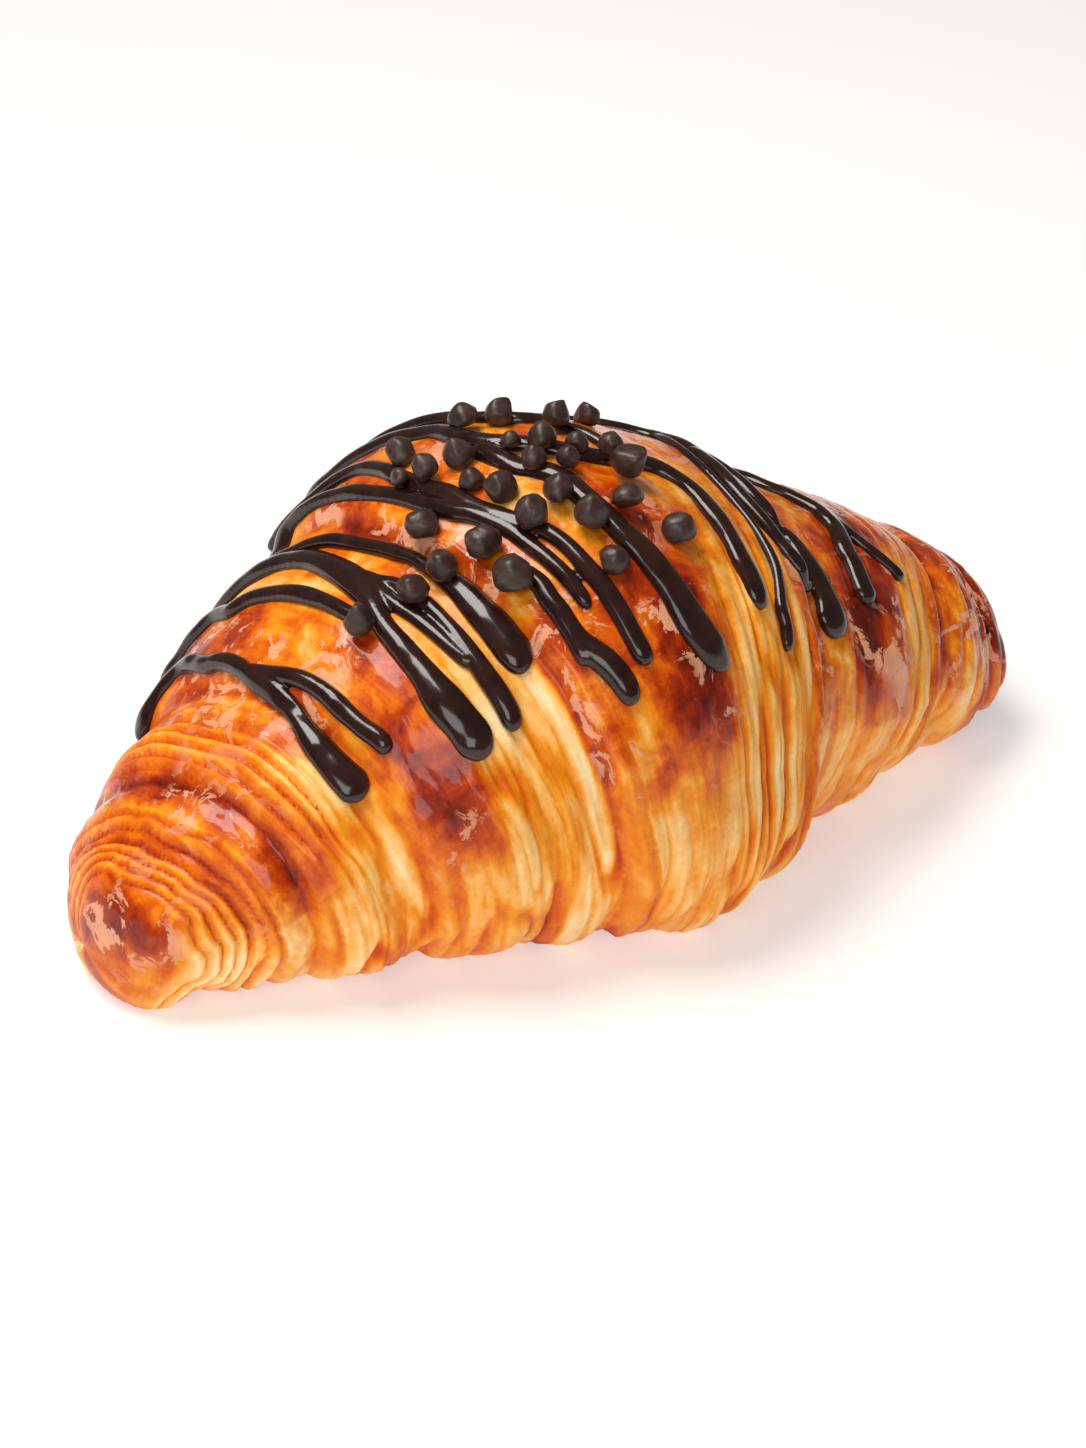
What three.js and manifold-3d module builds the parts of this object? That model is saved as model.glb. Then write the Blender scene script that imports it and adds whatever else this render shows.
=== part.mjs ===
// A large croissant with chocolate drizzle and chocolate drops. Millimetres, +Z up.
// The pastry is one baked piece, 175 mm long, lying along X on its flat base. Strands of set
// chocolate run over it from the front (-Y) to the back, and chocolate drops sit on top.
import * as THREE from "three";
import { mergeVertices } from "three/addons/utils/BufferGeometryUtils.js";
import Module from "manifold-3d";

const wasm = await Module();
wasm.setup();

// Pastry: rings across X, each a flattened circle that shrinks towards the tips.
const halfLength = 87.5;
const middleRadius = 43.1;
const leftTipRadius = 10.4;
const rightTipRadius = 14.7;
const tipRounding = 5.8;      // length of the rounded end of each tip
const leftTaper = 1.32;       // how the rings shrink: 1 is a cone, 2 is a barrel
const rightTaper = 1.34;
const thickestAt = -6.8;      // the thickest ring stands a little left of the middle
const middleFlat = 0.16;      // share of the length over which the middle stays flat
const widthRatio = 1.17;      // a ring is wider than it is tall
const seatRatio = 0.765;      // ring centre height over its radius: the rest was pressed flat in baking
const seatTips = 0.085;       // the tips lie a little higher
const footFullness = 0.02;    // the foot bulges out a little over the base
const middleLobe = 5;         // the middle's foot spreads forward and back
const leftTuck = 2.5;         // and the foot of each arm is drawn in
const rightTuck = 3.8;
const backShare = 0.6;        // how much of both shows at the back

// Wraps: the dough is rolled up, so each wrap's edge is a spiral that climbs over the one before.
const wrapPitch = 28;
const leftEdge = -19.5;       // edges of the middle wrap, where they come over the upper front
const rightEdge = 27;
const edgeAngle = 150;        // angle of that upper front line
const frontSway = 0.7;        // the edges run steeper down the front than over the top
const leftEdges = [0, 28, 46.5, 57, 72];   // further edges, outward from the middle wrap's own
const rightEdges = [0, 36, 50, 64];
const stepHeight = 1.8;       // how far a wrap swells over the next one
const footStep = 2.05;        // the same along the foot
const middleSwell = 0.65;
const stepWidth = 1.8;        // length in which the skin drops from one wrap to the next

// Grid of the pastry's skin.
const stationSpacing = 3;
const tipRings = 6;
const ringPoints = 40;

// Chocolate.
const gap = 0.35;             // clear space between the pieces
const strandStep = 3.2;       // spacing of a strand's sections along its run
const strandSides = 9;
const strandHeight = 2.3;
const strandSink = 1.2;       // a strand starts this far inside the skin, and the skin then cuts it
const dripLength = 30;        // a strand swells to its hanging end over this length
const mmPerDegree = 0.6;      // roughly what one degree spans on the skin
const dropSides = 9;
const dropOutline = [[0, 0], [0.75, 0], [1, 0.35], [0.86, 0.9], [0.42, 1.4], [0, 1.65]];  // in radii

const radians = THREE.MathUtils.degToRad;
const crust = new THREE.Color("#c9701f");
const darkChocolate = new THREE.Color("#1f100d");
const dropChocolate = new THREE.Color("#3a2a26");

const { clamp, smoothstep } = THREE.MathUtils;

// Radius of the ring at x, before the tips are rounded off.
function ringRadius(x) {
  const shifted = x - thickestAt * (1 - (x / halfLength) ** 2);
  const right = 1 / (1 + Math.exp(-shifted / 6));
  const along = Math.min(Math.hypot(shifted / halfLength, middleFlat), 1);
  const tip = leftTipRadius + (rightTipRadius - leftTipRadius) * right;
  const taper = leftTaper + (rightTaper - leftTaper) * right;
  return tip + (middleRadius - tip) * (1 - along ** taper);
}

// 1 along the body, falling to 0 at the end of each tip as a quarter circle does.
function tipScale(x) {
  const inside = clamp((halfLength - Math.abs(x)) / tipRounding, 0, 1);
  return Math.sqrt(1 - (1 - inside) ** 2);
}

// Distances outward from the middle wrap's left and right edges: below 0 on the middle wrap itself.
function edgeDistances(x, angle) {
  const turned = radians(edgeAngle - angle);
  const turns = (turned + frontSway * Math.sin(turned)) / (2 * Math.PI);
  const run = turns * wrapPitch * (1 - smoothstep(Math.abs(x), 60, 84));
  const front = -ringRadius(x) * Math.cos(radians(angle));
  const left = leftEdge - x - run + 0.42 * front * smoothstep(-x, 52, 78);
  return { left, right: x - rightEdge - run };
}

// Step profile of the wraps: highest at the middle of a wrap, lowest just outside an edge.
function wrapSwell({ left, right }) {
  const edge = 0.45;
  let swell = edge + middleSwell * smoothstep(-Math.max(left, right), 0, 14);
  for (const [side, edges] of [[left, leftEdges], [right, rightEdges]]) {
    for (let wrap = 0; wrap + 1 < edges.length; wrap += 1) {
      if (side < edges[wrap] || side >= edges[wrap + 1]) continue;
      const across = (side - edges[wrap]) / (edges[wrap + 1] - edges[wrap]);
      const drop = smoothstep(side - edges[wrap], 0, stepWidth);
      const rise = smoothstep(across, 0.07, 0.75);
      const roundOff = smoothstep(across, 0.75, 1);
      swell = edge - (1 + edge) * drop + 1.9 * rise - edge * roundOff;
    }
  }
  return swell;
}

// How far the skin stands out at one point because of the wraps.
function wrapLift(x, angle) {
  const sine = Math.sin(radians(angle));
  const upper = smoothstep(sine, -0.5, 0.3);
  const lower = (1 - upper) * smoothstep(sine, -0.96, -0.56);
  const scale = (ringRadius(x) / middleRadius) ** 0.7;
  return (stepHeight * upper + footStep * lower) * wrapSwell(edgeDistances(x, angle)) * scale;
}

// Direction from a ring's centre. Angle 0 faces the back (+Y), 90 the top, 180 the front.
function ringDirection(angle) {
  return new THREE.Vector3(0, Math.cos(radians(angle)), Math.sin(radians(angle)));
}

// Point of the skin at station x.
function skinPoint(x, angle) {
  const sine = Math.sin(radians(angle));
  const cosine = Math.cos(radians(angle));
  const below = clamp(-sine, 0, 1);
  const fullness = 1 + 2 * footFullness * below * Math.abs(cosine);
  const radius = (ringRadius(x) + wrapLift(x, angle)) * tipScale(x) * fullness;
  const middle = smoothstep(x, -30, -8) * (1 - smoothstep(x, 20, 34));
  const facing = cosine < 0 ? -1 : backShare;
  const low = below ** 0.7 * smoothstep(Math.abs(cosine), 0, 0.4) * facing;
  const tuck = (x < 0 ? leftTuck : rightTuck) * (1 - smoothstep(Math.abs(x), 60, 80));
  const across = radius * widthRatio * cosine + low * (middleLobe * middle - tuck * (1 - middle));
  const seat = (seatRatio + seatTips * (x / halfLength) ** 2) * ringRadius(x);
  return new THREE.Vector3(x, across, Math.max(seat + radius * sine, 0));
}

// Directions along the skin per unit of x and of angle, and the outward normal there.
function skinFrame(x, angle) {
  const alongX = skinPoint(x + 1, angle).sub(skinPoint(x - 1, angle)).divideScalar(2);
  const alongAngle = skinPoint(x, angle + 2).sub(skinPoint(x, angle - 2)).divideScalar(4);
  const normal = new THREE.Vector3().crossVectors(alongX, alongAngle).normalize();
  if (normal.dot(ringDirection(angle)) < 0) normal.negate();
  return { alongX, alongAngle, normal };
}

// Closes rings of points, and one point at each end, into a solid.
function ringedSolid(firstPoint, rings, lastPoint) {
  const sides = rings[0].length;
  const points = [firstPoint, ...rings.flat(), lastPoint];
  const last = points.length - 1;
  const triangles = [];
  for (let side = 0; side < sides; side += 1) {
    const next = (side + 1) % sides;
    triangles.push(0, 1 + next, 1 + side);
    for (let ring = 0; ring + 1 < rings.length; ring += 1) {
      const here = 1 + ring * sides;
      const there = here + sides;
      triangles.push(here + side, here + next, there + side);
      triangles.push(here + next, there + next, there + side);
    }
    triangles.push(last, last - sides + side, last - sides + next);
  }
  const geometry = new THREE.BufferGeometry().setFromPoints(points);
  geometry.setIndex(triangles);
  return geometry;
}

// Skin of the pastry, or the same skin moved outward by some clearance.
function pastryGeometry(clearance = 0) {
  const stations = [];
  for (let ring = 1; ring <= tipRings; ring += 1) {
    const end = tipRounding * (1 - Math.cos((Math.PI / 2) * ring / tipRings));
    stations.push(end - halfLength, halfLength - end);
  }
  const straight = 2 * (halfLength - tipRounding);
  const steps = Math.round(straight / stationSpacing);
  for (let step = 1; step < steps; step += 1) {
    stations.push(tipRounding - halfLength + straight * step / steps);
  }
  stations.sort((a, b) => a - b);
  const rings = stations.map((x) => {
    const ring = [];
    for (let point = 0; point < ringPoints; point += 1) {
      const angle = -90 + 360 * point / ringPoints;
      ring.push(skinPoint(x, angle).addScaledVector(ringDirection(angle), clearance));
    }
    return ring;
  });
  const seat = seatRatio + seatTips;
  const leftTip = new THREE.Vector3(-halfLength - clearance, 0, seat * ringRadius(-halfLength));
  const rightTip = new THREE.Vector3(halfLength + clearance, 0, seat * ringRadius(halfLength));
  return ringedSolid(leftTip, rings, rightTip);
}

// A strand of set chocolate along a route of [x, angle] points. Its underside lies below the skin.
function strandGeometry({ route, width, end }) {
  const points = route.map(([x, angle]) => new THREE.Vector3(x, angle * mmPerDegree, 0));
  const curve = new THREE.CatmullRomCurve3(points);
  const length = curve.getLength();
  const half = width / 2;
  const endPoint = (share) => {
    const { x, y } = curve.getPointAt(share);
    return skinPoint(x, y / mmPerDegree);
  };
  const section = (along) => {
    const toEnd = Math.min(along, length - along);
    const swell = 1.12 * width + (end - width) * smoothstep(along, length - dripLength, length - 0.4 * end);
    const round = Math.sqrt(1 - (1 - Math.min(toEnd / half, 1)) ** 2);
    const { x, y } = curve.getPointAt(along / length);
    const ahead = curve.getTangentAt(along / length);
    const { alongX, alongAngle, normal } = skinFrame(x, y / mmPerDegree);
    const forward = alongX.clone().multiplyScalar(ahead.x);
    forward.addScaledVector(alongAngle, ahead.y / mmPerDegree);
    const side = new THREE.Vector3().crossVectors(normal, forward).normalize();
    const sideX = side.dot(alongX) / alongX.lengthSq();
    const sideAngle = side.dot(alongAngle) / alongAngle.lengthSq();
    const ring = [];
    for (let corner = 0; corner < strandSides; corner += 1) {
      const around = 2 * Math.PI * (corner + 0.5) / strandSides;
      const out = swell / 2 * round * Math.cos(around);
      const up = Math.sin(around) * (Math.sin(around) > 0 ? strandHeight * round : strandSink);
      const place = skinPoint(x + sideX * out, y / mmPerDegree + sideAngle * out);
      ring.push(place.addScaledVector(normal, up));
    }
    return ring;
  };
  const steps = Math.round((length - 2 * half) / strandStep);
  const places = [0.1 * half, 0.45 * half];
  for (let step = 0; step <= steps; step += 1) places.push(half + (length - 2 * half) * step / steps);
  places.push(length - 0.45 * half, length - 0.1 * half);
  return ringedSolid(endPoint(0), places.map(section), endPoint(1));
}

// A chocolate drop of the given width, standing on its flat base at the origin.
function dropGeometry(width, tallness, clearance = 0) {
  const radius = width / 2 + clearance;
  const outline = dropOutline.map(([out, up]) => {
    return new THREE.Vector2(out * radius, up * tallness * radius - clearance);
  });
  const geometry = new THREE.LatheGeometry(outline, dropSides);
  geometry.rotateX(Math.PI / 2);  // the lathe's axis is Y, and a drop stands along Z
  return geometry;
}

// Place of a drop: its base is the given rise above the skin, and it leans by turns about X and Y.
function dropMatrix({ x, angle, rise, lean = [0, 0] }) {
  const { normal } = skinFrame(x, angle);
  const upright = new THREE.Quaternion().setFromUnitVectors(new THREE.Vector3(0, 0, 1), normal);
  const leaning = new THREE.Quaternion().setFromEuler(new THREE.Euler(radians(lean[0]), radians(lean[1]), 0));
  const place = skinPoint(x, angle).addScaledVector(normal, rise);
  return new THREE.Matrix4().compose(place, leaning.multiply(upright), new THREE.Vector3(1, 1, 1));
}

function toSolid(geometry) {
  const bare = geometry.clone();
  bare.deleteAttribute("normal");
  bare.deleteAttribute("uv");
  const { attributes, index } = mergeVertices(bare, 1e-4);
  const vertProperties = attributes.position.array;
  const triVerts = Uint32Array.from(index.array);
  return new wasm.Manifold(new wasm.Mesh({ numProp: 3, vertProperties, triVerts }));
}

function toGeometry(solid) {
  const { vertProperties, triVerts } = solid.getMesh();
  const geometry = new THREE.BufferGeometry();
  geometry.setAttribute("position", new THREE.BufferAttribute(vertProperties, 3));
  geometry.setIndex(new THREE.BufferAttribute(triVerts, 1));
  geometry.computeVertexNormals();
  return geometry;
}

// Drizzle: each body is one strand, or strands that ran together. Routes go from the back, over
// the top, to the hanging end at the front, where a strand has swollen to its end width.
const onBare = 0.5;           // rise of a drop's base on bare pastry
const onStrand = 1.5;         // and on a strand
const drizzle = [
  [
    { width: 3, end: 5.2, route: [[-64, 24], [-62, 33], [-59, 42], [-57, 50], [-57, 64], [-56, 75],
      [-55.6, 84], [-55.5, 92], [-55, 103], [-54.6, 111], [-54.7, 122], [-54, 132], [-53.3, 138],
      [-52.3, 144], [-52, 147.5]] },
    { width: 2.7, end: 3, route: [[-55.8, 86], [-54.6, 92], [-53, 101], [-51.8, 107], [-50.8, 114],
      [-50, 122], [-49, 129], [-47.8, 134.5], [-47.3, 139]] },
  ],
  [
    { width: 3.6, end: 6.2, route: [[-48, 16], [-46.5, 28], [-44, 40], [-42, 50], [-40, 60], [-38.8, 70],
      [-38.2, 81], [-38.4, 93], [-38.6, 100.5], [-39.4, 106], [-39.8, 112], [-39.5, 120], [-39, 127],
      [-38.6, 133], [-37.8, 138.5], [-36.9, 144], [-36.4, 148.5], [-36.4, 152]] },
    { width: 2.2, end: 2.2, route: [[-37.5, 72], [-36.9, 81], [-36.6, 90], [-36.6, 100], [-36.5, 106],
      [-35.5, 112], [-34.6, 118], [-33.9, 123], [-33.2, 127], [-32.2, 131]] },
    { width: 2.4, end: 3.7, route: [[-36.6, 92], [-35.8, 97.5], [-34.3, 102], [-33.5, 107], [-32.6, 113.5],
      [-32.2, 119.5], [-31.9, 125], [-31.6, 130], [-31.3, 134.5], [-30.8, 140], [-30.5, 144.5],
      [-30.4, 149.5]] },
    { width: 2.4, end: 5.6, route: [[-43, 43], [-40.6, 49], [-38, 56], [-35.4, 66], [-33.7, 73],
      [-32.6, 80.5], [-31.3, 87], [-30.2, 93], [-29.3, 98], [-29, 101.5], [-28, 109.5], [-27.6, 114],
      [-27.2, 120], [-26.7, 125], [-26.3, 130], [-26, 134], [-26.3, 138.5]] },
    { width: 2.8, end: 2.8, route: [[-56, 20], [-54, 30], [-51.5, 41], [-49.6, 50], [-49.3, 60.5],
      [-47.4, 66.5], [-46, 73], [-45, 78.5], [-44, 85], [-43.3, 91], [-42.8, 96], [-42, 102], [-40.2, 107]] },
  ],
  [
    { width: 3, end: 2.4, route: [[-35, 26], [-33, 38], [-30.4, 46], [-28.6, 57], [-27.4, 65.5],
      [-26.3, 74], [-25, 81.5], [-24.2, 86.5], [-23.3, 92], [-22, 97.5], [-20.6, 101], [-19.4, 105],
      [-18.2, 109.5], [-17.4, 114.5], [-16.4, 119.5], [-15.5, 125], [-14.8, 132.5]] },
    { width: 2.7, end: 3.1, route: [[-31, 30], [-28, 42], [-25, 52], [-22.3, 61], [-22, 71], [-22.3, 77],
      [-22, 82], [-21.2, 87.5], [-20.5, 92.5], [-19.9, 98.5], [-18.8, 103], [-16.5, 109], [-14.3, 114],
      [-13, 119], [-12.2, 125], [-11.6, 129], [-11.3, 133], [-11, 137], [-10.8, 141.5], [-10.3, 147.5]] },
  ],
  [
    { width: 2.6, end: 4.1, route: [[-20.5, 118], [-19.3, 123], [-19.2, 127], [-18.8, 130.5], [-18.6, 134],
      [-18.2, 137.5], [-17.2, 140.5], [-16, 143.7], [-15.1, 146.8], [-14.5, 150], [-14.3, 154]] },
    { width: 3.2, end: 3.2, route: [[-19, 129], [-18.7, 134], [-18.5, 139], [-18.5, 143]] },
  ],
  [
    { width: 3.2, end: 4, route: [[-22, 30], [-19, 45], [-15.5, 58], [-13.5, 66], [-11.7, 72],
      [-11.5, 79.5], [-10.5, 84.5], [-8.5, 88.5], [-6, 91.5], [-3, 95], [0.3, 98.3], [3.5, 100.5],
      [7.5, 101], [11.4, 101.7], [13.7, 104], [15.5, 108.3], [16.3, 112.5], [16.2, 117.5], [16.2, 121.7],
      [16.1, 126], [15.6, 130.5], [15.5, 136], [15, 142]] },
    { width: 3.5, end: 6, route: [[-12.5, 86], [-11.5, 92], [-10.5, 97], [-8.3, 100.5], [-6.5, 105],
      [-5.8, 111], [-4.8, 117], [-3.9, 122], [-2.7, 126], [-1.8, 131], [-1.2, 134.5], [-0.7, 139],
      [0, 143], [1.3, 147.3], [2.2, 151], [2.2, 153.5]] },
    { width: 2.5, end: 2.5, route: [[-14, 36], [-10.5, 52], [-7, 66], [-4.5, 74], [-1, 79], [3, 82],
      [5.5, 87], [7, 93], [8.2, 100]] },
  ],
  [
    { width: 2.8, end: 5.5, route: [[30, 18], [29, 36], [28.5, 60], [29, 80], [30, 93], [31.3, 102],
      [32, 111], [34, 119], [34.5, 123.5], [34.5, 130], [34.6, 136.3], [34.3, 143.4], [33, 151]] },
    { width: 2.6, end: 2.6, route: [[29, 86], [28, 100], [27.5, 108], [28, 116], [28.7, 124], [30, 131],
      [31.5, 137]] },
    { width: 2.6, end: 2.6, route: [[2, 36], [7, 48], [14, 57], [22, 64], [28, 72], [29.5, 82]] },
    { width: 1.3, end: 2.3, route: [[29, 68], [27, 80], [25, 93], [24.5, 103], [24.5, 111], [24.5, 119.5],
      [24.3, 124], [24, 128], [23.3, 132], [21.5, 137.5], [20, 142], [19.6, 147], [18.3, 152]] },
  ],
  [
    { width: 2.8, end: 3.9, route: [[45, 20], [43, 35], [42, 50], [42, 70], [43, 85], [46, 94],
      [48, 102.5], [48, 108.5], [47.8, 114], [46, 122], [45.7, 128], [45, 134.5], [44, 141.5]] },
    { width: 2, end: 2, route: [[46, 88], [47, 98], [49, 105], [49.5, 111.5], [50.7, 117], [52.5, 122.5],
      [54.3, 127], [55.4, 130], [55.8, 133]] },
  ],
];

// Chocolate drops, from the left end to the right, then those on the back.
const drops = [
  { x: -42.3, angle: 107.5, width: 4.8, tallness: 1.2, rise: onStrand },
  { x: -33.4, angle: 108.2, width: 5.1, tallness: 1, rise: onStrand },
  { x: -26.9, angle: 107.3, width: 5.5, tallness: 1, rise: onStrand },
  { x: -26, angle: 96, width: 5.2, tallness: 1, rise: onBare },
  { x: -22.5, angle: 110, width: 5.9, tallness: 1, rise: onStrand },
  { x: -23, angle: 81.3, width: 3.4, tallness: 0.95, rise: onStrand },
  { x: -21.9, angle: 120, width: 6.6, tallness: 0.9, rise: onStrand },
  { x: -20.1, angle: 85.4, width: 4.6, tallness: 1, rise: onStrand },
  { x: -19, angle: 73.7, width: 5.2, tallness: 1, rise: onBare },
  { x: -17.4, angle: 95, width: 4.4, tallness: 0.9, rise: onBare },
  { x: -15.4, angle: 87.8, width: 5.1, tallness: 1.05, rise: onBare },
  { x: -15.3, angle: 101, width: 5.7, tallness: 0.95, rise: onBare },
  { x: -14.9, angle: 111, width: 5.6, tallness: 1.05, rise: onStrand },
  { x: -9.1, angle: 77.2, width: 5.4, tallness: 0.8, rise: onStrand },
  { x: -9.7, angle: 109.4, width: 5.2, tallness: 0.95, rise: onStrand, lean: [-18, 0] },
  { x: -8.5, angle: 126, width: 5.1, tallness: 0.85, rise: onBare },
  { x: -8.6, angle: 91.8, width: 3.4, tallness: 0.9, rise: onStrand },
  { x: -9, angle: 99.4, width: 4.3, tallness: 1, rise: onStrand },
  { x: -8, angle: 116.4, width: 5.5, tallness: 1, rise: onStrand },
  { x: -4.4, angle: 102.4, width: 4, tallness: 1.05, rise: onStrand },
  { x: -4.9, angle: 95, width: 5, tallness: 0.95, rise: onStrand },
  { x: -3.9, angle: 79, width: 4.9, tallness: 1.2, rise: onBare },
  { x: -0.6, angle: 98.4, width: 3.9, tallness: 0.95, rise: onStrand },
  { x: -1.7, angle: 116.5, width: 5.3, tallness: 0.8, rise: 2.2, lean: [-60, 15] },
  { x: 3.3, angle: 106.8, width: 5.7, tallness: 1.3, rise: onStrand },
  { x: 2, angle: 87, width: 4.7, tallness: 1.2, rise: onStrand },
  { x: 4.8, angle: 123, width: 5.7, tallness: 0.9, rise: onBare },
  { x: 4.6, angle: 100.2, width: 4.4, tallness: 0.95, rise: onStrand },
  { x: 12.5, angle: 79, width: 4.3, tallness: 1.25, rise: onBare },
  { x: -12, angle: 20, width: 5, tallness: 1, rise: onBare },
  { x: 0, angle: 33, width: 5.2, tallness: 1, rise: onBare },
  { x: 10, angle: 21, width: 4.8, tallness: 1.1, rise: onBare },
  { x: 22, angle: 34, width: 5, tallness: 1, rise: onBare },
];

const croissant = new THREE.Group();

function addPiece(name, geometry, color, roughness) {
  const piece = new THREE.Mesh(geometry, new THREE.MeshStandardMaterial({ color, roughness, metalness: 0 }));
  piece.name = name;
  croissant.add(piece);
  return piece;
}

const numbered = (index) => String(index + 1).padStart(2, "0");

addPiece("pastry", toGeometry(toSolid(pastryGeometry())), crust, 0.45);

drops.forEach((drop, index) => {
  const geometry = toGeometry(toSolid(dropGeometry(drop.width, drop.tallness)));
  const piece = addPiece(`chocolate_drop_${numbered(index)}`, geometry, dropChocolate, 0.5);
  dropMatrix(drop).decompose(piece.position, piece.quaternion, piece.scale);
});

// The strands are cut back to clear the pastry below them and the drops pressed into them.
const clearOfPastry = toSolid(pastryGeometry(gap));
const clearOfDrops = drops.map((drop) => {
  return toSolid(dropGeometry(drop.width, drop.tallness, gap).applyMatrix4(dropMatrix(drop)));
});
drizzle.forEach((strands, index) => {
  let body = strands.map((strand) => toSolid(strandGeometry(strand))).reduce((a, b) => a.add(b));
  for (const cutter of [clearOfPastry, ...clearOfDrops]) body = body.subtract(cutter);
  addPiece(`drizzle_${numbered(index)}`, toGeometry(body), darkChocolate, 0.2);
});

export default croissant;
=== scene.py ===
import math

import bmesh
import bpy
import numpy as np
from mathutils import Euler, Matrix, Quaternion, Vector


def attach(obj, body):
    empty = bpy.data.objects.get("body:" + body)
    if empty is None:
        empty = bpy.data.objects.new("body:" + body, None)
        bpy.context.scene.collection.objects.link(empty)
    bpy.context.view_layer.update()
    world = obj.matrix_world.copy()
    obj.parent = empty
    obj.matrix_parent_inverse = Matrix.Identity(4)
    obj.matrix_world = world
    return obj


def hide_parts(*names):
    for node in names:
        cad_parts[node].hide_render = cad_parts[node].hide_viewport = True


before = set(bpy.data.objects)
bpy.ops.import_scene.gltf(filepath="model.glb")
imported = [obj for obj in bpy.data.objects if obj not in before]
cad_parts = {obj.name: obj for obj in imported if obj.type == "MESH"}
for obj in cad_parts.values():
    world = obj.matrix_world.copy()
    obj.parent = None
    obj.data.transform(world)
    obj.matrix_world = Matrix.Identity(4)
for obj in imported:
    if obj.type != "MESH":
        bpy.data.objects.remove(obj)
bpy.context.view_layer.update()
mm = 0.001


def linear(hexColour):  # sRGB hex to the linear colour that nodes take
    channels = [int(hexColour[i:i + 2], 16) / 255 for i in (1, 3, 5)]
    return [c / 12.92 if c <= 0.04045 else ((c + 0.055) / 1.055) ** 2.4 for c in channels] + [1.0]


def addNode(material, kind, settings=None, links=None):  # one node with its settings and what feeds it
    node = material.node_tree.nodes.new(kind)
    for name, value in (settings or {}).items():
        if name == "stops":
            ramp = node.color_ramp.elements
            while len(ramp) < len(value):
                ramp.new(0.5)
            for element, (place, colour) in zip(ramp, value):
                element.position, element.color = place, linear(colour)
        elif isinstance(name, str) and hasattr(node, name):
            setattr(node, name, value)
        else:
            node.inputs[name].default_value = value
    for name, source in (links or {}).items():
        material.node_tree.links.new(source, node.inputs[name])
    return node


def link(material, source, node, name):
    material.node_tree.links.new(source, node.inputs[name])


def newMaterial(name):
    material = bpy.data.materials.new(name)
    material.use_nodes = True
    material.node_tree.nodes.clear()
    return material


def finishMaterial(material, surface):
    addNode(material, "ShaderNodeOutputMaterial", links={"Surface": surface.outputs[0]})
    return material


def addPiece(name, mesh, material, nodes):
    piece = bpy.data.objects.new(name, mesh)
    bpy.context.scene.collection.objects.link(piece)
    mesh.materials.clear()
    mesh.materials.append(material)
    mesh.shade_smooth()
    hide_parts(*nodes)
    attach(piece, "root")
    return piece


def smoothStep(value, low, high):
    t = np.clip((value - low) / (high - low), 0, 1)
    return t * t * (3 - 2 * t)


def noise(points, seed=0):  # smooth random values, about -1 to 1, for rows of x, y, z
    points = np.asarray(points, float)
    cell = np.floor(points).astype(np.int64)
    part = points - cell
    part = part * part * (3 - 2 * part)
    total = np.zeros(points.shape[:-1])
    for corner in range(8):
        offset = np.array([corner & 1, corner >> 1 & 1, corner >> 2 & 1])
        at = cell + offset
        mixed = at[..., 0] * 73856093 ^ at[..., 1] * 19349663 ^ at[..., 2] * 83492791 ^ (seed * 2654435 + 77)
        mixed = (mixed ^ (mixed >> 13)) * 1274126177 & 0x7FFFFFFF
        mixed = (mixed ^ (mixed >> 16)) & 0xFFFF
        weight = np.prod(np.where(offset == 1, part, 1 - part), axis=-1)
        total += weight * (mixed / 32767.5 - 1)
    return total


def cloud(points, seed=0, octaves=3):  # noise with finer and weaker copies of itself
    total = sum(noise(points * 2 ** k, seed + k) / 1.8 ** k for k in range(octaves))
    return total / sum(1 / 1.8 ** k for k in range(octaves))


# the croissant's form: stations x along it in mm, angles round it in degrees (90 top, 180 front)

dough = {
    "halfLength": 87.5, "middleRadius": 43.1, "leftTipRadius": 10.4, "rightTipRadius": 14.7, "tipRounding": 5.8,
    "leftTaper": 1.32, "rightTaper": 1.34, "thickestAt": -6.8, "middleFlat": 0.16,
    "widthRatio": 1.17, "seatRatio": 0.765, "seatTips": 0.085, "footFullness": 0.02,
    "middleLobe": 5, "leftTuck": 2.5, "rightTuck": 3.8, "backShare": 0.6,
    "wrapPitch": 28, "leftEdge": -19.5, "rightEdge": 27, "edgeAngle": 150, "frontSway": 0.7,
    "leftEdges": (0, 28, 46.5, 57, 72), "rightEdges": (0, 36, 50, 64),
    "stepHeight": 1.8, "footStep": 2.05, "middleSwell": 0.65, "stepWidth": 1.8, "edgeWobble": 1.0,
    "alongSteps": 500, "tipSteps": 22, "roundSteps": 168, "baseSteps": 12, "baseHalf": 39, "uvPerMetre": 5,
}


def ringShare(x):  # 0 in the left half, 1 in the right half
    shifted = x - dough["thickestAt"] * (1 - (x / dough["halfLength"]) ** 2)
    return shifted, 1 / (1 + np.exp(-shifted / 6))


def ringRadius(x):
    d = dough
    shifted, right = ringShare(x)
    along = np.minimum(np.hypot(shifted / d["halfLength"], d["middleFlat"]), 1)
    tip = d["leftTipRadius"] + (d["rightTipRadius"] - d["leftTipRadius"]) * right
    taper = d["leftTaper"] + (d["rightTaper"] - d["leftTaper"]) * right
    return tip + (d["middleRadius"] - tip) * (1 - along ** taper)


def tipScale(x):
    inside = np.clip((dough["halfLength"] - np.abs(x)) / dough["tipRounding"], 0, 1)
    return np.sqrt(np.clip(1 - (1 - inside) ** 2, 0, 1))


def edgeRun(angle):  # how far, in pitches, a wrap's edge has moved outward at this angle
    turned = np.radians(dough["edgeAngle"] - angle)
    return (turned + dough["frontSway"] * np.sin(turned)) / (2 * math.pi)


def roundCoords(across, angle, fine, long=2.0):  # noise coordinates that are long round the croissant
    turn = np.radians(angle)
    return np.stack([across / fine, long * np.cos(turn), long * np.sin(turn)], -1)


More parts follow.
